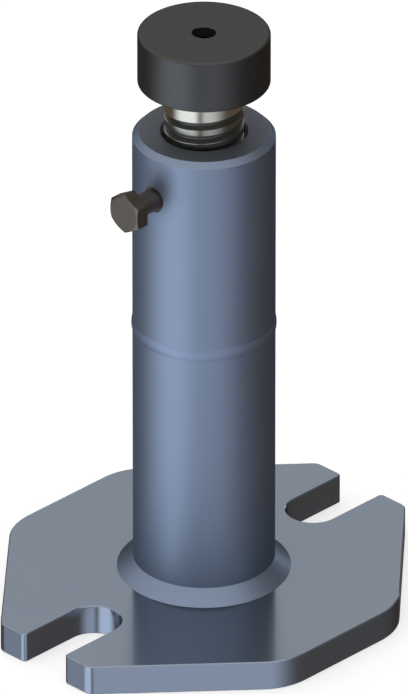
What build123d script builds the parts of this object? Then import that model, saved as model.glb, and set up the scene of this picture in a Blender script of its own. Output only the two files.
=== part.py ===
from build123d import *
import math
import os

# A machinist's screw jack: slotted base plate, welded column, jack screw with a swivel cap,
# and a side lock screw with a brass tip. Millimetres, +Z up. The origin is the centre of the
# base plate's underside. The bolt slots run along Y, and the lock screw points to -Y.

# Base plate
plate_thickness = 12.7
plate_length = 181.0
plate_width = 156.4
plate_end_edge = 49.4
plate_side_edge = 63.0
plate_end_corner_radius = 5.0
plate_side_corner_radius = 26.0
plate_edge_chamfer = 0.4
slot_width = 22.0
slot_centre_distance = 62.4
slot_mouth_radius = 2.0
tube_seat_depth = 3.0

# Column: a lower tube and a threaded sleeve, butt welded over the sleeve's spigot
column_diameter = 57.0
column_height = 198.3
joint_height = 111.7
tube_bore = 44.5
column_top_chamfer = 2.3
spigot_length = 12.0
sleeve_relief_bore = 36.0
nut_length = 42.0
nut_mouth_chamfer = 1.3

# Welds
base_weld_reach = 6.4
base_weld_height = 5.4
joint_weld_width = 5.0
joint_weld_crown = 0.45
joint_weld_flat = 2.2

# Jack screw
screw_diameter = 32.0
thread_pitch = 6.0
thread_turns = 3
thread_depth = 3.0
groove_width = 3.0
flank_angle = 5.0
screw_length = 118.0
screw_tip_chamfer = 1.5
runout_drop = 9.0
runout_angle = 134.6
runout_depth = 3.4
journal_diameter = 20.0
journal_length = 16.2
journal_chamfer = 0.8
socket_flats = 8.0
socket_depth = 9.0

# Swivel cap and its retaining ring
cap_diameter = 52.8
cap_height = 21.9
cap_gap = 22.1
cap_edge_chamfer = 0.8
cap_web = 4.6
access_hole_diameter = 9.4
access_hole_chamfer = 0.3
ring_section = 2.0
ring_diameter = 20.4
ring_gap_angle = 40.0
ring_height = 8.0

# Lock screw and its brass tip
lock_drop = 20.2
lock_thread_diameter = 10.0
lock_shank_diameter = 8.8
lock_head_flats = 15.0
lock_head_height = 6.0
lock_head_turn = 30.0
lock_head_chamfer_angle = 30.0
lock_head_face_share = 0.95
lock_head_reach = 45.3
lock_washer_face = 0.5
lock_thread_length = 7.6
lock_pin_diameter = 4.0
lock_pin_length = 2.4
lock_hole_chamfer = 0.3
pad_diameter = 8.2
pad_length = 4.0

# Clearances
fit_clearance = 0.1
thread_clearance = 0.25
groove_clearance = 0.2
pad_clearance = 0.3
cut_margin = 1.0

# Places worked out from the sizes
plate_top = plate_thickness
column_radius = column_diameter / 2
column_top = plate_top + column_height
joint_level = plate_top + joint_height
tube_end = joint_level - joint_weld_width / 2
sleeve_shoulder = joint_level + joint_weld_width / 2
spigot_radius = tube_bore / 2 - fit_clearance
cap_underside = column_top + cap_gap
crest_radius = screw_diameter / 2
root_radius = crest_radius - thread_depth
lock_level = column_top - lock_drop

BOTTOM = (Align.CENTER, Align.CENTER, Align.MIN)


def rod(radius, bottom, top):
    """Upright round bar between two heights."""
    return Pos(0, 0, bottom) * Cylinder(radius, top - bottom, align=BOTTOM)


def taper(bottom_radius, top_radius, bottom, top):
    """Upright cone between two heights."""
    return Pos(0, 0, bottom) * Cone(bottom_radius, top_radius, top - bottom, align=BOTTOM)


def turned(profile):
    """Solid turned about the Z axis from a half section drawn in the XZ plane."""
    return revolve(Plane.XZ * profile, Axis.Z)


def along_lock_axis(solid):
    """Lays an upright solid along the lock screw's axis, its own +Z pointing outwards."""
    return Pos(0, 0, lock_level) * Rot(90, 0, 0) * solid


def same_level(edge, level):
    """True for an edge that lies flat at a height."""
    box = edge.bounding_box()
    return math.isclose(box.min.Z, level, abs_tol=1e-4) and math.isclose(box.max.Z, level, abs_tol=1e-4)


def thread_groove(turns, top, top_angle):
    """Cutter for a right-handed groove that ends at a height and angle.

    It reaches from the root past the crest, and its flanks lean apart by the flank angle.
    """
    outside = crest_radius + cut_margin
    slope = math.tan(math.radians(flank_angle))
    root_half = groove_width / 2 - slope * thread_depth
    outer_half = groove_width / 2 + slope * cut_margin
    corners = [
        (root_radius, -root_half),
        (outside, -outer_half),
        (outside, outer_half),
        (root_radius, root_half),
    ]
    section = Plane.XZ * make_face(Polyline(*corners, close=True))
    climb = turns * thread_pitch
    groove = sweep(section, path=Helix(thread_pitch, climb, crest_radius), is_frenet=True)
    return Pos(0, 0, top - climb) * Rot(0, 0, top_angle - 360 * turns) * groove


def base_plate():
    """Eight-sided plate with an open bolt slot in each end and a seat for the tube."""
    half_length = plate_length / 2
    half_width = plate_width / 2
    quarter = [
        (half_width, plate_side_edge / 2),
        (plate_end_edge / 2, half_length),
    ]
    corners = quarter + [(-x, y) for x, y in reversed(quarter)]
    corners += [(-x, -y) for x, y in corners]
    outline = make_face(Polyline(*corners, close=True))

    def is_at_end(corner):
        return math.isclose(abs(corner.Y), half_length, abs_tol=1e-4)

    def is_at_side(corner):
        return math.isclose(abs(corner.X), half_width, abs_tol=1e-4)

    outline = fillet(outline.vertices().filter_by(is_at_end), plate_end_corner_radius)
    outline = fillet(outline.vertices().filter_by(is_at_side), plate_side_corner_radius)

    slot_run = half_length - slot_centre_distance + cut_margin
    for side in (1, -1):
        run_centre = side * (slot_centre_distance + slot_run / 2)
        outline -= Pos(0, run_centre) * Rectangle(slot_width, slot_run)
        outline -= Pos(0, side * slot_centre_distance) * Circle(slot_width / 2)

    def is_slot_mouth(corner):
        return is_at_end(corner) and math.isclose(abs(corner.X), slot_width / 2, abs_tol=1e-4)

    outline = fillet(outline.vertices().filter_by(is_slot_mouth), slot_mouth_radius)
    plate = extrude(outline, plate_thickness)
    for face in (plate.faces().sort_by(Axis.Z)[-1], plate.faces().sort_by(Axis.Z)[0]):
        plate = chamfer(
            [edge for edge in plate.edges() if same_level(edge, face.center().Z)],
            plate_edge_chamfer,
        )
    seat_radius = column_radius + fit_clearance
    return plate - rod(seat_radius, plate_top - tube_seat_depth, plate_top + cut_margin)


def lower_tube():
    """Tube that stands in the plate's seat and carries the threaded sleeve."""
    foot = plate_top - tube_seat_depth
    tube = rod(column_radius, foot, tube_end)
    return tube - rod(tube_bore / 2, foot - cut_margin, tube_end + cut_margin)


def threaded_sleeve():
    """Thick sleeve that guides the jack screw, with a spigot below and the lock hole."""
    spigot_bottom = joint_level - spigot_length
    nut_bottom = column_top - nut_length
    nut_radius = crest_radius + thread_clearance

    sleeve = rod(column_radius, sleeve_shoulder, column_top)
    sleeve = chamfer(sleeve.edges().sort_by(Axis.Z)[-1], column_top_chamfer)
    sleeve += rod(spigot_radius, spigot_bottom, sleeve_shoulder)
    sleeve -= rod(nut_radius, nut_bottom - cut_margin, column_top + cut_margin)
    sleeve -= rod(sleeve_relief_bore / 2, spigot_bottom - cut_margin, nut_bottom)
    mouth_radius = nut_radius + nut_mouth_chamfer
    sleeve -= taper(nut_radius, mouth_radius, column_top - nut_mouth_chamfer, column_top)

    hole_radius = lock_thread_diameter / 2 + fit_clearance
    hole = rod(hole_radius, 0, column_radius + cut_margin)
    hole += taper(
        hole_radius,
        hole_radius + lock_hole_chamfer + cut_margin,
        column_radius - lock_hole_chamfer,
        column_radius + cut_margin,
    )
    return sleeve - along_lock_axis(hole)


def base_weld():
    """Flat fillet weld round the tube's foot."""
    corners = [
        (column_radius, plate_top),
        (column_radius + base_weld_reach, plate_top),
        (column_radius, plate_top + base_weld_height),
    ]
    return turned(make_face(Polyline(*corners, close=True)))


def column_weld():
    """Butt weld that fills the gap between tube and sleeve down to the spigot.

    It stands a little proud of the column.
    """
    half_flat = joint_weld_flat / 2
    crown_radius = column_radius + joint_weld_crown
    corners = [
        (spigot_radius, tube_end),
        (column_radius, tube_end),
        (crown_radius, joint_level - half_flat),
        (crown_radius, joint_level + half_flat),
        (column_radius, sleeve_shoulder),
        (spigot_radius, sleeve_shoulder),
    ]
    return turned(make_face(Polyline(*corners, close=True)))


def jack_screw():
    """Square-threaded screw with a plain neck, a journal for the cap and a hex socket.

    The groove is cut over the turns that stand out of the column and the next ones below.
    """
    tip = cap_underside - screw_length
    journal_top = cap_underside + journal_length

    bar = rod(crest_radius, tip, cap_underside)
    bar = chamfer(bar.edges().sort_by(Axis.Z)[0], screw_tip_chamfer)
    journal = rod(journal_diameter / 2, cap_underside, journal_top)
    journal = chamfer(journal.edges().sort_by(Axis.Z)[-1], journal_chamfer)
    screw = bar + journal

    runout_level = cap_underside - runout_drop
    screw -= thread_groove(thread_turns, runout_level, runout_angle)
    runout_hole = Cylinder(groove_width / 2, runout_depth + cut_margin, align=BOTTOM)
    runout_hole = Pos(crest_radius - runout_depth, 0, runout_level) * Rot(0, 90, 0) * runout_hole
    screw -= Rot(0, 0, runout_angle) * runout_hole

    ring_level = cap_underside + ring_height
    half_groove = ring_section / 2 + groove_clearance
    groove_bottom = ring_diameter / 2 - ring_section / 2 - 2 * groove_clearance
    ring_groove = rod(
        journal_diameter / 2 + cut_margin,
        ring_level - half_groove,
        ring_level + half_groove,
    )
    screw -= ring_groove - rod(groove_bottom, ring_level - half_groove, ring_level + half_groove)

    socket = extrude(RegularPolygon(socket_flats / 2, 6, major_radius=False), socket_depth + cut_margin)
    return screw - Pos(0, 0, journal_top - socket_depth) * socket


def swivel_cap():
    """Round cap that turns on the screw's journal and stands on the neck's shoulder."""
    cap_top = cap_underside + cap_height
    bore_radius = journal_diameter / 2 + fit_clearance
    ring_level = cap_underside + ring_height
    half_groove = ring_section / 2 + groove_clearance / 2

    cap = rod(cap_diameter / 2, cap_underside, cap_top)
    cap = chamfer(cap.edges().filter_by(GeomType.CIRCLE), cap_edge_chamfer)
    cap -= rod(bore_radius, cap_underside - cut_margin, cap_top - cap_web)
    cap -= rod(access_hole_diameter / 2, cap_underside, cap_top + cut_margin)
    hole_edge = access_hole_diameter / 2 + access_hole_chamfer
    cap -= taper(access_hole_diameter / 2, hole_edge, cap_top - access_hole_chamfer, cap_top)
    groove_radius = ring_diameter / 2 + ring_section / 2 + groove_clearance
    return cap - rod(groove_radius, ring_level - half_groove, ring_level + half_groove)


def cap_retaining_ring():
    """Open ring of square spring wire that keeps the cap on the journal."""
    wire = Pos(ring_diameter / 2, cap_underside + ring_height) * Rectangle(ring_section, ring_section)
    ring = revolve(Plane.XZ * wire, Axis.Z, 360 - ring_gap_angle)
    return Rot(0, 0, ring_gap_angle / 2) * ring


def lock_screw():
    """Hexagon-headed screw with a plain shank, a threaded end and a pin for its tip."""
    head_bottom = lock_head_reach - lock_head_height
    pad_back = crest_radius + pad_clearance + pad_length
    thread_end = pad_back + lock_thread_length

    hexagon = RegularPolygon(lock_head_flats / 2, 6, major_radius=False, rotation=lock_head_turn)
    head = Pos(0, 0, head_bottom) * extrude(hexagon, lock_head_height)
    corner_radius = lock_head_flats / math.sqrt(3)
    face_radius = lock_head_face_share * lock_head_flats / 2
    rise = (corner_radius - face_radius) * math.tan(math.radians(lock_head_chamfer_angle))
    envelope = rod(corner_radius, head_bottom, lock_head_reach - rise)
    envelope += taper(corner_radius, face_radius, lock_head_reach - rise, lock_head_reach)
    head &= envelope

    screw = head + rod(face_radius, head_bottom - lock_washer_face, head_bottom)
    screw += rod(lock_shank_diameter / 2, thread_end, head_bottom)
    screw += rod(lock_thread_diameter / 2, pad_back, thread_end)
    screw += rod(lock_pin_diameter / 2, pad_back - lock_pin_length, pad_back)
    return along_lock_axis(screw)


def lock_pad():
    """Brass tip that presses on the thread's crests without marking them."""
    pad_face = crest_radius + pad_clearance
    pad = rod(pad_diameter / 2, pad_face, pad_face + pad_length)
    pin_radius = lock_pin_diameter / 2 + fit_clearance
    pin_hole_bottom = pad_face + pad_length - lock_pin_length - fit_clearance
    pad -= rod(pin_radius, pin_hole_bottom, pad_face + pad_length + cut_margin)
    return along_lock_axis(pad)


nodes = {
    "base_plate": base_plate,
    "lower_tube": lower_tube,
    "threaded_sleeve": threaded_sleeve,
    "base_weld": base_weld,
    "column_weld": column_weld,
    "jack_screw": jack_screw,
    "swivel_cap": swivel_cap,
    "cap_retaining_ring": cap_retaining_ring,
    "lock_screw": lock_screw,
    "lock_pad": lock_pad,
}

os.makedirs("parts", exist_ok=True)
for name, make in nodes.items():
    export_step(make(), f"parts/{name}.step")
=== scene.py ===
import bmesh
import bpy
import math
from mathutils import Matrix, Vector


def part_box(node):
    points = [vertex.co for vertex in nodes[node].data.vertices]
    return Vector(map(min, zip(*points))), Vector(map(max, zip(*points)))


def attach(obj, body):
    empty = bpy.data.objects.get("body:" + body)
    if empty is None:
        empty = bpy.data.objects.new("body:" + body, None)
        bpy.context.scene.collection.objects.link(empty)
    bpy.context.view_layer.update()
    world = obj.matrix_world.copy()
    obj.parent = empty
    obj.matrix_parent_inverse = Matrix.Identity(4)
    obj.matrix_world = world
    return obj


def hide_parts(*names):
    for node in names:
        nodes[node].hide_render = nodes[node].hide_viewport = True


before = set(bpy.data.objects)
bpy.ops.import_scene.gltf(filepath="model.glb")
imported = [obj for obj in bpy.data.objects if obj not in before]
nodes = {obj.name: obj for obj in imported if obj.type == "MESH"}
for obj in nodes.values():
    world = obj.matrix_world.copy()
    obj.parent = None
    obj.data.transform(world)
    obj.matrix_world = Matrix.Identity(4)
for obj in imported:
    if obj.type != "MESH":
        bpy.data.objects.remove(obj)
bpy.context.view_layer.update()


# Base plate
# Flame-cut 12.7 mm steel plate with two open bolt slots, ground flat and sprayed with smooth
# blue-grey enamel. It is bolted or clamped to the machine table through the slots.
class Wire:
    """One value, colour or vector that runs through a node tree."""

    def __init__(self, tree, socket=None):
        self.tree = tree
        self.socket = socket

    def node(self, kind, settings, values, out=0):
        """Adds a node, applies its settings and then its socket values, and returns one output."""
        node = self.tree.nodes.new(kind)
        for name, value in settings.items():
            setattr(node, name, value)
        for name, value in values.items():
            if isinstance(value, Wire):
                self.tree.links.new(value.socket, node.inputs[name])
            else:
                node.inputs[name].default_value = value
        return Wire(self.tree, node.outputs[out])

    def math(self, operation, first, second=0.0):
        return self.node("ShaderNodeMath", {"operation": operation}, {0: first, 1: second})

    def __add__(self, other):
        return self.math("ADD", self, other)

    __radd__ = __add__

    def __sub__(self, other):
        return self.math("SUBTRACT", self, other)

    def __rsub__(self, other):
        return self.math("SUBTRACT", other, self)

    def __mul__(self, other):
        return self.math("MULTIPLY", self, other)

    __rmul__ = __mul__

    def times(self, scale):
        """A vector stretched by three factors."""
        settings = {"operation": "MULTIPLY"}
        return self.node("ShaderNodeVectorMath", settings, {0: self, 1: scale})

    def radius(self):
        """Distance of this place from the upright axis."""
        level = self.times((1.0, 1.0, 0.0))
        return self.node("ShaderNodeVectorMath", {"operation": "LENGTH"}, {0: level}, out="Value")

    def height(self):
        """Height of this place."""
        return self.node("ShaderNodeSeparateXYZ", {}, {0: self}, out="Z")

    def step(self, start, end):
        """Goes smoothly from 0 where this value is at the start to 1 where it is at the end."""
        settings = {"interpolation_type": "SMOOTHSTEP"}
        values = {"Value": self, "From Min": start, "From Max": end}
        return self.node("ShaderNodeMapRange", settings, values)

    def between(self, low, high):
        """Colour that goes from one colour wire to another as this value goes from 0 to 1."""
        return self.node("ShaderNodeMix", {"data_type": "RGBA"}, {0: self, 6: low, 7: high}, out=2)

    def noise(self, size, detail=2.0):
        """Smooth noise between 0 and 1 whose features are about one size across, in metres."""
        values = {"Vector": self, "Scale": 1.0 / size, "Detail": detail, "Roughness": 0.5}
        return self.node("ShaderNodeTexNoise", {}, values)

    def tint(self, low, high):
        """Colour that goes from one tint to another as this value goes from 0 to 1."""
        settings = {"data_type": "RGBA"}
        return self.node("ShaderNodeMix", settings, {0: self, 6: (*low, 1), 7: (*high, 1)}, out=2)

    def bump(self, relief, strength):
        """Normal that is tilted by this value, for a relief given in metres."""
        values = {"Strength": strength, "Distance": relief, "Height": self}
        return self.node("ShaderNodeBump", {}, values)


def new_finish(name):
    """Empty material, its shader node and a wire that carries the place on the object."""
    finish = bpy.data.materials.new(name)
    finish.use_nodes = True
    shader = finish.node_tree.nodes["Principled BSDF"]
    start = Wire(finish.node_tree)
    place = start.node("ShaderNodeTexCoord", {}, {}, out="Object")
    return finish, shader, place


def apply(finish, shader, **sockets):
    """Sets the shader's own sockets, by link where a value varies over the surface."""
    for name, value in sockets.items():
        socket = shader.inputs[name.replace("_", " ")]
        if isinstance(value, Wire):
            finish.node_tree.links.new(value.socket, socket)
        else:
            socket.default_value = value


def enamel(name, low, high, gloss, metal, film, film_gloss, bare_radius=0.0):
    """Sprayed metallic enamel: a soft tinted body under a clear film with faint orange peel.

    Nearer to the axis than the bare radius the steel is left bare, dark and oily.
    """
    bare_low = (0.125, 0.142, 0.168)
    bare_high = (0.14, 0.158, 0.186)
    bare_gloss = 0.42
    bare_metal = 0.5
    mirror_tint = (0.06, 0.06, 0.06, 1)
    edge = 0.0001
    cloud_size = 0.03
    cloud_share = 0.7
    cloud_gloss = 0.06
    fleck_size = 0.00025
    fleck_share = 0.3
    peel_size = 0.0016
    peel_relief = 0.00001
    peel_strength = 0.25
    finish, shader, place = new_finish(name)
    cloud = place.noise(cloud_size)
    fleck = place.noise(fleck_size, detail=0.0)
    peel = place.noise(peel_size, detail=1.0)
    painted = place.radius().step(bare_radius - edge, bare_radius)
    bare = cloud.tint(bare_low, bare_high)
    paint = (cloud_share * cloud + fleck_share * fleck).tint(low, high)
    apply(
        finish,
        shader,
        Base_Color=painted.between(bare, paint),
        Metallic=bare_metal + painted * (metal - bare_metal),
        Roughness=bare_gloss + painted * (gloss - bare_gloss) + cloud_gloss * cloud,
        Specular_Tint=mirror_tint,
        Coat_Weight=film * painted,
        Coat_Roughness=film_gloss,
        Normal=peel.bump(peel_relief, peel_strength),
    )
    return finish


def wear_finish(node, finish):
    """Puts a finish on a solid that keeps its shape."""
    for slot in nodes[node].material_slots:
        slot.material = finish


plate_enamel = enamel(
    "plate_enamel",
    low=(0.239, 0.29, 0.364),
    high=(0.259, 0.31, 0.384),
    gloss=0.15,
    metal=0.85,
    film=0.4,
    film_gloss=0.04,
)
wear_finish("base_plate", plate_enamel)


# Column
# A cut length of 57 mm tube below and a bored and threaded sleeve above, turned, welded end to
# end and sprayed with the plate. The screw works in the sleeve, whose top ring and bore are bare.
column_enamel = enamel(
    "column_enamel",
    low=(0.244, 0.305, 0.408),
    high=(0.264, 0.325, 0.428),
    gloss=0.5,
    metal=1.0,
    film=0.03,
    film_gloss=0.3,
    bare_radius=0.0261,
)
wear_finish("lower_tube", column_enamel)
wear_finish("threaded_sleeve", column_enamel)


# Base weld
# Fillet weld round the tube's foot, dressed to a flat cone and painted over.
weld_enamel = enamel(
    "weld_enamel",
    low=(0.208, 0.268, 0.375),
    high=(0.228, 0.288, 0.395),
    gloss=0.38,
    metal=0.9,
    film=0.1,
    film_gloss=0.3,
)
wear_finish("base_weld", weld_enamel)


# Column weld
# Butt weld between tube and sleeve. It stands a little proud as a low, smooth bead with a
# faint ripple left by the turning, and is painted over.
def join(rows, name):
    """Mesh from rows of points: each row goes round the axis, and joins the next.

    The last row joins the first.
    """
    points = [point for row in rows for point in row]
    count = len(rows[0])
    faces = []
    for upper in range(1, len(rows)):
        for i in range(count):
            j = (i + 1) % count
            low = (upper - 1) * count
            high = upper * count
            faces.append((low + i, low + j, high + j, high + i))
    last = (len(rows) - 1) * count
    for i in range(count):
        j = (i + 1) % count
        faces.append((last + i, last + j, j, i))
    return as_piece(name, points, faces)


def as_piece(name, points, faces):
    """Object from points and faces, cleaned of collapsed faces and shaded smooth."""
    merge_distance = 1e-6
    sharp_angle = math.radians(32)
    mesh = bpy.data.meshes.new(name)
    mesh.from_pydata(points, [], faces)
    shape = bmesh.new()
    shape.from_mesh(mesh)
    bmesh.ops.remove_doubles(shape, verts=shape.verts, dist=merge_distance)
    bmesh.ops.dissolve_degenerate(shape, edges=shape.edges, dist=merge_distance)
    bmesh.ops.recalc_face_normals(shape, faces=shape.faces)
    shape.to_mesh(mesh)
    shape.free()
    mesh.shade_smooth()
    mesh.set_sharp_from_angle(angle=sharp_angle)
    piece = bpy.data.objects.new(name, mesh)
    bpy.context.scene.collection.objects.link(piece)
    return piece


def ring(radius, height, steps):
    """Points round the axis at one radius and height."""
    angles = [2 * math.pi * i / steps for i in range(steps)]
    return [(radius * math.cos(a), radius * math.sin(a), height) for a in angles]


mm = 0.001
bead_low, bead_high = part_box("column_weld")
bead_level = (bead_low.z + bead_high.z) / 2
bead_half = (bead_high.z - bead_low.z) / 2
bead_radius = bead_high.x
bead_crown = 0.45 * mm
bead_depth = 6.35 * mm
bead_ripple = 0.03 * mm
bead_ripples = 150
bead_lean = 1.5
bead_steps = 900
bead_half_rows = 6
bead_rows = [ring(bead_radius - bead_crown - bead_depth, bead_level, bead_steps)]
for k in range(2 * bead_half_rows + 1):
    lift = -1 + k / bead_half_rows
    swell = bead_crown * (1 - lift**2)
    row = []
    for x, y, z in ring(1.0, bead_level + bead_half * lift, bead_steps):
        wave = math.sin(bead_ripples * math.atan2(y, x) + bead_lean * lift**2) - 1
        radius = bead_radius - bead_crown + swell + bead_ripple * wave * (1 - lift**2)
        row.append((radius * x, radius * y, z))
    bead_rows.append(row)
column_bead = join(bead_rows, "column_bead")
# Painted light: the bead's enamel is a lighter copy of the column's paint, so the joint reads
# brighter.
bead_lit_enamel = enamel(
    "bead_lit_enamel",
    low=(0.265, 0.33, 0.455),
    high=(0.285, 0.35, 0.475),
    gloss=0.5,
    metal=1.0,
    film=0.03,
    film_gloss=0.3,
)
column_bead.data.materials.append(bead_lit_enamel)
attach(column_bead, "column")
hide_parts("column_weld")


# Jack screw
# 32 mm steel screw with a right-handed square thread of 6 mm pitch, turned and left bright. The
# plain neck under the cap is polished, and the journal above it carries the cap.
screw_low, screw_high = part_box("jack_screw")
neck_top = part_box("swivel_cap")[0].z
crest_radius = screw_high.x
thread_depth = 3 * mm
thread_pitch = 6 * mm
groove_half = 1.5 * mm
flank_slope = math.tan(math.radians(5))
edge_round = 0.3 * mm
edge_hold = 0.1 * mm
root_round = 0.4 * mm
runout_level = neck_top - 9.0 * mm
runout_angle = math.radians(134.6)
thread_end = runout_level + 3 * mm
journal_radius = 10 * mm
journal_chamfer = 0.8 * mm
ring_groove_radius = 8.8 * mm
ring_groove_level = neck_top + 8 * mm
ring_groove_half = 1.2 * mm
socket_half_flats = 4 * mm
socket_depth = 9 * mm
thread_steps = 180


def groove_profile(share):
    """Height from the groove's middle and radius of each point across the groove.

    A share of 1 gives the full groove, and 0 none. One more point on the crest at each side keeps
    the crest's shading flat.
    """
    depth_gain = 3
    half = groove_half * share
    depth = thread_depth * min(1.0, depth_gain * share)
    edge = edge_round * share
    foot = root_round * share
    root_half = half - flank_slope * depth
    middle = 1 - math.sqrt(0.5)
    side = [
        (half + edge, 0.0),
        (half + middle * edge, middle * edge),
        (half, edge),
        (root_half, depth - foot),
        (root_half - middle * foot, depth - middle * foot),
        (root_half - foot, depth),
    ]
    hold = half + edge + edge_hold * share
    below = [(-height, crest_radius - drop) for height, drop in side]
    above = [(height, crest_radius - drop) for height, drop in reversed(side)]
    return [(-hold, crest_radius)] + below + above + [(hold, crest_radius)]


def groove_share(turn):
    """Width of the groove at a number of turns past the drilled run-out's middle."""
    past = turn * 2 * math.pi * crest_radius / groove_half
    if past <= 0:
        return 1.0
    return math.sqrt(1 - past**2) if past < 1 else 0.0


def socket_radius(angle):
    """Distance from the axis to the hexagon socket's wall."""
    off_flat = (angle % math.radians(60)) - math.radians(30)
    return socket_half_flats / math.cos(off_flat)


# Degrees past the run-out's middle at which its round end is followed.
runout_steps = (0.01, 1.0, 2.9, 4.2, 4.9, 5.25)
column_angles = [math.radians(360 / thread_steps * i) for i in range(thread_steps)]
column_angles += [runout_angle + math.radians(a) for a in runout_steps]
column_angles.sort()
turns_down = math.ceil((runout_level - screw_low.z) / thread_pitch) + 1
thread_columns = []
for angle in column_angles:
    column = []
    for turn in range(-turns_down, 2):
        place_in_turns = (angle - runout_angle) / (2 * math.pi) + turn
        middle = runout_level + thread_pitch * place_in_turns
        for offset, radius in groove_profile(groove_share(place_in_turns)):
            height = middle + offset
            if height >= thread_end:
                height = thread_end
                radius = crest_radius
            if height <= screw_low.z:
                height = screw_low.z
                radius = crest_radius - thread_depth
            column.append((radius, height))
    thread_columns.append(column)

rows_a_turn = len(groove_profile(1.0))
thread_rows = len(thread_columns[0])
screw_points = []
for angle, column in zip(column_angles, thread_columns):
    top = screw_high.z
    column += [
        (crest_radius, neck_top - edge_round - edge_hold),
        (crest_radius, neck_top - edge_round),
        (crest_radius - edge_round, neck_top),
        (journal_radius, neck_top),
        (journal_radius, ring_groove_level - ring_groove_half),
        (ring_groove_radius, ring_groove_level - ring_groove_half),
        (ring_groove_radius, ring_groove_level + ring_groove_half),
        (journal_radius, ring_groove_level + ring_groove_half),
        (journal_radius, top - journal_chamfer),
        (journal_radius - journal_chamfer, top),
        (socket_radius(angle), top),
        (socket_radius(angle), top - socket_depth),
        (0.0, top - socket_depth),
    ]
    column.insert(0, (0.0, screw_low.z))
    for radius, height in column:
        screw_points.append((radius * math.cos(angle), radius * math.sin(angle), height))

rows = len(thread_columns[0])
screw_faces = []
for i in range(len(column_angles)):
    here = i * rows
    there = here + rows
    if i < len(column_angles) - 1:
        for r in range(rows - 1):
            screw_faces.append((here + r, there + r, there + r + 1, here + r + 1))
        continue
    for r in range(1, thread_rows - rows_a_turn):
        s = r + rows_a_turn
        screw_faces.append((here + r, s, s + 1, here + r + 1))
    screw_faces.append((here, 0, 1, here + 1))
    for r in range(thread_rows, rows - 1):
        screw_faces.append((here + r, r, r + 1, here + r + 1))
threaded_screw = as_piece("threaded_screw", screw_points, screw_faces)


def turned_steel(name, low, high, gloss, groove_relief):
    """Turned metal: fine rings from the tool round the axis, over faint patches."""
    ring_width = 0.00022
    ring_stretch = (0.02, 0.02, 1.0)
    ring_share = 0.5
    ring_strength = 0.3
    patch_size = 0.006
    patch_share = 0.5
    patch_gloss = 0.1
    finish, shader, place = new_finish(name)
    tool_rings = place.times(ring_stretch).noise(ring_width, detail=3.0)
    patch = place.noise(patch_size)
    colour = (ring_share * tool_rings + patch_share * patch).tint(low, high)
    rough = gloss + patch_gloss * patch
    apply(
        finish,
        shader,
        Base_Color=colour,
        Metallic=1.0,
        Roughness=rough,
        Normal=tool_rings.bump(groove_relief, ring_strength),
    )
    return finish, shader, place, colour, rough


def screw_steel():
    """Polished neck, thread crests painted darker and grooves painted near black, both as painted
    shade.
    """
    neck_edge = runout_level - 2.5 * mm
    neck_fade = 0.5 * mm
    # Painted shade: inside the thread's grooves the steel is painted near black.
    groove_shade_top = crest_radius - 0.7 * mm
    land_foot = crest_radius - 0.15 * mm
    stain_size = 0.003
    # Painted shade: below the neck the thread's crests are painted darker than the neck.
    crest_shade_low = (0.26, 0.26, 0.225)
    crest_shade_high = (0.35, 0.35, 0.3)
    groove_shade_low = (0.085, 0.095, 0.085)
    groove_shade_high = (0.12, 0.13, 0.115)
    groove_shade_metal = 0.4
    land_metal = 0.6
    groove_shade_gloss = 0.25
    finish, shader, place, colour, rough = turned_steel(
        "screw_steel",
        low=(0.5, 0.485, 0.42),
        high=(0.61, 0.59, 0.51),
        gloss=0.12,
        groove_relief=0.000004,
    )
    neck = place.height().step(neck_edge - neck_fade, neck_edge + neck_fade)
    crest = place.radius().step(groove_shade_top, land_foot)
    land = crest.math("MAXIMUM", crest, neck)
    stain = place.noise(stain_size, detail=3.0)
    crest_shade = stain.tint(crest_shade_low, crest_shade_high)
    groove_shade = stain.tint(groove_shade_low, groove_shade_high)
    outside = neck.between(crest_shade, colour)
    apply(
        finish,
        shader,
        Base_Color=land.between(groove_shade, outside),
        Metallic=groove_shade_metal + land_metal * land,
        Roughness=rough + groove_shade_gloss * (1.0 - land),
    )
    return finish


threaded_screw.data.materials.append(screw_steel())
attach(threaded_screw, "screw")
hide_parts("jack_screw")


# Swivel cap
# Turned steel cap with a black oxide finish and softly broken edges. It turns on the screw's
# journal, and a key reaches the screw's socket through the hole in its top.
def corner(centre, radius, start, end, steps=6):
    """Points on a round between two angles in degrees, in the section's plane.

    One more point on the straight at each side keeps the shading of the straight flat.
    """
    points = []
    for k in range(steps + 1):
        a = math.radians(start + (end - start) * k / steps)
        points.append((centre[0] + radius * math.cos(a), centre[1] + radius * math.sin(a)))
    first = math.radians(start)
    last = math.radians(end)
    x, y = points[0]
    before = (x + edge_hold * math.sin(first), y - edge_hold * math.cos(first))
    x, y = points[-1]
    after = (x - edge_hold * math.sin(last), y + edge_hold * math.cos(last))
    return [before] + points + [after]


cap_low, cap_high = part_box("swivel_cap")
cap_radius = cap_high.x
cap_round = 1.1 * mm
cap_foot_round = 0.8 * mm
cap_web = 4.6 * mm
cap_bore = 10.1 * mm
cap_groove_radius = 11.4 * mm
cap_groove_half = 1.1 * mm
hole_radius = 4.7 * mm
hole_round = 0.4 * mm
cap_steps = 240
foot_centre = (cap_radius - cap_foot_round, cap_low.z + cap_foot_round)
edge_centre = (cap_radius - cap_round, cap_high.z - cap_round)
hole_centre = (hole_radius + hole_round, cap_high.z - hole_round)
cap_section = corner(foot_centre, cap_foot_round, -90, 0)
cap_section += corner(edge_centre, cap_round, 0, 90, steps=10)
cap_section += corner(hole_centre, hole_round, 90, 180)
cap_section += [
    (hole_radius, cap_high.z - cap_web),
    (cap_bore, cap_high.z - cap_web),
    (cap_bore, ring_groove_level + cap_groove_half),
    (cap_groove_radius, ring_groove_level + cap_groove_half),
    (cap_groove_radius, ring_groove_level - cap_groove_half),
    (cap_bore, ring_groove_level - cap_groove_half),
    (cap_bore, cap_low.z),
]
black_cap = join([ring(radius, height, cap_steps) for radius, height in cap_section], "black_cap")


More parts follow.
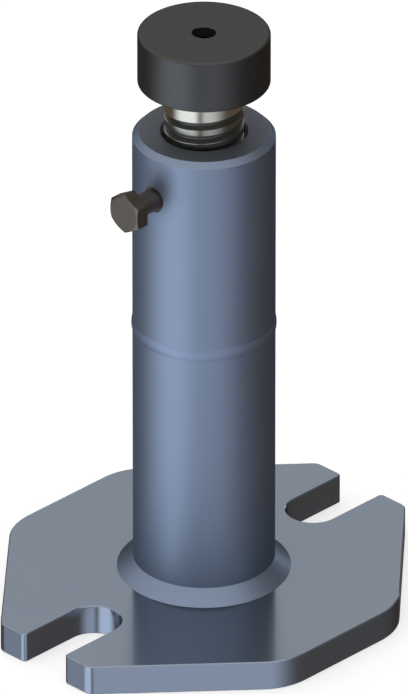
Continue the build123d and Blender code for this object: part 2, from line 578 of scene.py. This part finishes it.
def black_oxide(name, low, high, gloss):
    """Oil-dipped black oxide on turned steel: near black, with a soft, faintly patchy sheen."""
    grain_size = 0.0003
    grain_stretch = (1.0, 1.0, 0.1)
    grain_relief = 0.000006
    grain_strength = 0.25
    patch_size = 0.008
    patch_gloss = 0.08
    metal = 0.88
    mirror_tint = (0.5, 0.5, 0.5, 1)
    finish, shader, place = new_finish(name)
    grain = place.times(grain_stretch).noise(grain_size, detail=2.0)
    patch = place.noise(patch_size)
    apply(
        finish,
        shader,
        Base_Color=patch.tint(low, high),
        Metallic=metal,
        Specular_Tint=mirror_tint,
        Roughness=gloss + patch_gloss * patch,
        Normal=grain.bump(grain_relief, grain_strength),
    )
    return finish


cap_black = black_oxide(
    "cap_black",
    low=(0.073, 0.075, 0.0755),
    high=(0.083, 0.085, 0.0855),
    gloss=0.36,
)
black_cap.data.materials.append(cap_black)
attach(black_cap, "cap")
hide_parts("swivel_cap")


# Cap retaining ring
# Open ring of spring steel, sprung into the journal's groove. It is inside the cap and shows
# only when the cap is off.
spring_steel = turned_steel(
    "spring_steel",
    low=(0.28, 0.28, 0.28),
    high=(0.36, 0.36, 0.35),
    gloss=0.25,
    groove_relief=0.000002,
)[0]
wear_finish("cap_retaining_ring", spring_steel)


# Lock screw
# Hexagon-headed steel screw in the column's side, left in its dark oily finish. It is turned in
# to hold the jack screw at its height.
def oiled_steel(name, low, high, gloss):
    """Plain dark steel with a thin film of oil: cloudy colour and an uneven sheen."""
    cloud_size = 0.004
    cloud_share = 0.7
    cloud_gloss = 0.14
    grain_size = 0.0005
    grain_share = 0.3
    grain_relief = 0.000012
    grain_strength = 0.3
    finish, shader, place = new_finish(name)
    cloud = place.noise(cloud_size, detail=3.0)
    grain = place.noise(grain_size, detail=2.0)
    apply(
        finish,
        shader,
        Base_Color=(cloud_share * cloud + grain_share * grain).tint(low, high),
        Metallic=1.0,
        Roughness=gloss + cloud_gloss * cloud,
        Normal=grain.bump(grain_relief, grain_strength),
    )
    return finish


lock_steel = oiled_steel(
    "lock_steel",
    low=(0.136, 0.121, 0.102),
    high=(0.184, 0.164, 0.14),
    gloss=0.36,
)
wear_finish("lock_screw", lock_steel)


# Lock pad
# Turned brass tip on the lock screw's end, inside the column, which presses on the thread
# without marking it.
tip_brass = turned_steel(
    "tip_brass",
    low=(0.62, 0.44, 0.18),
    high=(0.72, 0.54, 0.26),
    gloss=0.2,
    groove_relief=0.000003,
)[0]
wear_finish("lock_pad", tip_brass)


# Camera
# Long lens, for a view almost without perspective. It looks down on the jack from its front right
# corner, and the column stands in the middle of the frame. With a lens much over 1000 mm, turned
# views are clipped.
azimuth = math.radians(44.6)
elevation = math.radians(29.44)
frame_height = 0.27624
aim = Vector((0.0, 0.0, 0.1125))
to_camera = Vector((
    math.sin(azimuth) * math.cos(elevation),
    -math.cos(azimuth) * math.cos(elevation),
    math.sin(elevation),
))
lens = bpy.data.cameras.new("long_lens")
lens.lens = 1000
lens.sensor_width = 36
distance = frame_height / 2 / (lens.sensor_width / 2 / lens.lens)
camera = bpy.data.objects.new("camera", lens)
camera.location = aim + to_camera * distance
camera.rotation_mode = "QUATERNION"
camera.rotation_quaternion = (-to_camera).to_track_quat("-Z", "Y")
bpy.context.scene.collection.objects.link(camera)
bpy.context.scene.camera = camera


# Studio
# White room: two tall soft panels in front of the jack with a narrow gap between them, a soft
# ceiling, dim warm walls, and a pale floor that is bright enough to fade into the background.
def panel(bearing, dark_from, full_from, full_to, dark_to):
    """Upright panel that fills a range of bearings, in degrees, and fades out at both sides."""
    rise = bearing.step(math.radians(dark_from), math.radians(full_from))
    fall = bearing.step(math.radians(dark_to), math.radians(full_to))
    return rise * fall


def glow(amount, colour):
    """Coloured light of a given amount."""
    settings = {"operation": "SCALE"}
    return amount.node("ShaderNodeVectorMath", settings, {0: colour, "Scale": amount})


def together(first, second):
    """Two lights added."""
    settings = {"operation": "ADD"}
    return first.node("ShaderNodeVectorMath", settings, {0: first, 1: second})


def along(direction, axis):
    """How far a direction runs along an axis, from -1 to 1."""
    settings = {"operation": "DOT_PRODUCT"}
    return direction.node("ShaderNodeVectorMath", settings, {0: direction, 1: axis}, out="Value")


studio = bpy.data.worlds.new("studio")
studio.use_nodes = True
tree = studio.node_tree
start = Wire(tree)
direction = start.node("ShaderNodeTexCoord", {}, {}, out="Generated")
towards = along(direction, (math.sin(azimuth), -math.cos(azimuth), 0))
right = along(direction, (math.cos(azimuth), math.sin(azimuth), 0))
height = along(direction, (0, 0, 1))
bearing = right.math("ARCTAN2", right, towards)
left_light = (1.24, 1.36, 1.55)
right_light = (0.7, 0.77, 0.91)
ceiling_light = (0.8, 0.8, 0.8)
wall_light = (0.13, 0.1, 0.077)
shade_strength = 0.9
overhead_gain = 0.25
below_ceiling = height.step(0.3, 0.0)
left_panel = panel(bearing, dark_from=-106, full_from=-64, full_to=-30, dark_to=-8) * below_ceiling
right_panel = panel(bearing, dark_from=-16, full_from=6, full_to=14, dark_to=74) * below_ceiling
right_shade = panel(bearing, dark_from=55, full_from=80, full_to=145, dark_to=170)
right_shade = right_shade * height.step(0.9, 0.7)
ceiling = height.step(0.15, 0.45) * (1.0 - shade_strength * right_shade)
ceiling = ceiling * (1.0 + overhead_gain * height.step(0.6, 0.9))
light = glow(left_panel, left_light)
light = together(light, glow(right_panel, right_light))
light = together(light, glow(ceiling, ceiling_light))
light = together(light, wall_light)
background = tree.nodes["Background"]
tree.links.new(light.socket, background.inputs["Color"])
white = start.node("ShaderNodeBackground", {}, {"Color": (1, 1, 1, 1), "Strength": 1.0})
seen_directly = start.node("ShaderNodeLightPath", {}, {}, out="Is Camera Ray")
room = Wire(tree, background.outputs[0])
seen = start.node("ShaderNodeMixShader", {}, {0: seen_directly, 1: room, 2: white})
tree.links.new(seen.socket, tree.nodes["World Output"].inputs["Surface"])
bpy.context.scene.world = studio
bpy.context.scene.view_settings.view_transform = "Standard"

floor_half = 12.0
floor_gap = 0.0002
floor_low = (0.5, 0.5, 0.5)
floor_high = (0.52, 0.52, 0.52)
floor_cloud_size = 0.2
floor_corners = [(-1, -1, 0), (1, -1, 0), (1, 1, 0), (-1, 1, 0)]
floor_points = [tuple(floor_half * c for c in corner_point) for corner_point in floor_corners]
floor = as_piece("floor", floor_points, [(0, 1, 2, 3)])
floor.location.z = -floor_gap
finish, shader, place = new_finish("pale_floor")
apply(
    finish,
    shader,
    Base_Color=place.noise(floor_cloud_size).tint(floor_low, floor_high),
    Roughness=0.9,
    Emission_Color=(1, 1, 1, 1),
    Emission_Strength=0.62,
)
floor.data.materials.append(finish)
floor.visible_glossy = False
floor.visible_diffuse = False
floor.visible_shadow = False

rim = bpy.data.lights.new("rim_light", "AREA")
rim.shape = "RECTANGLE"
rim.size = 0.35
rim.size_y = 0.16
rim.energy = 0.8
rim_light = bpy.data.objects.new("rim_light", rim)
rim_bearing = math.radians(145)
rim_rise = 0.09
rim_distance = 1.6
rim_direction = Vector((
    math.sin(azimuth) * math.cos(rim_bearing) + math.cos(azimuth) * math.sin(rim_bearing),
    -math.cos(azimuth) * math.cos(rim_bearing) + math.sin(azimuth) * math.sin(rim_bearing),
    rim_rise,
))
rim_light.location = aim + rim_direction * rim_distance
rim_light.rotation_mode = "QUATERNION"
rim_light.rotation_quaternion = (-rim_direction).to_track_quat("-Z", "Y")
bpy.context.scene.collection.objects.link(rim_light)
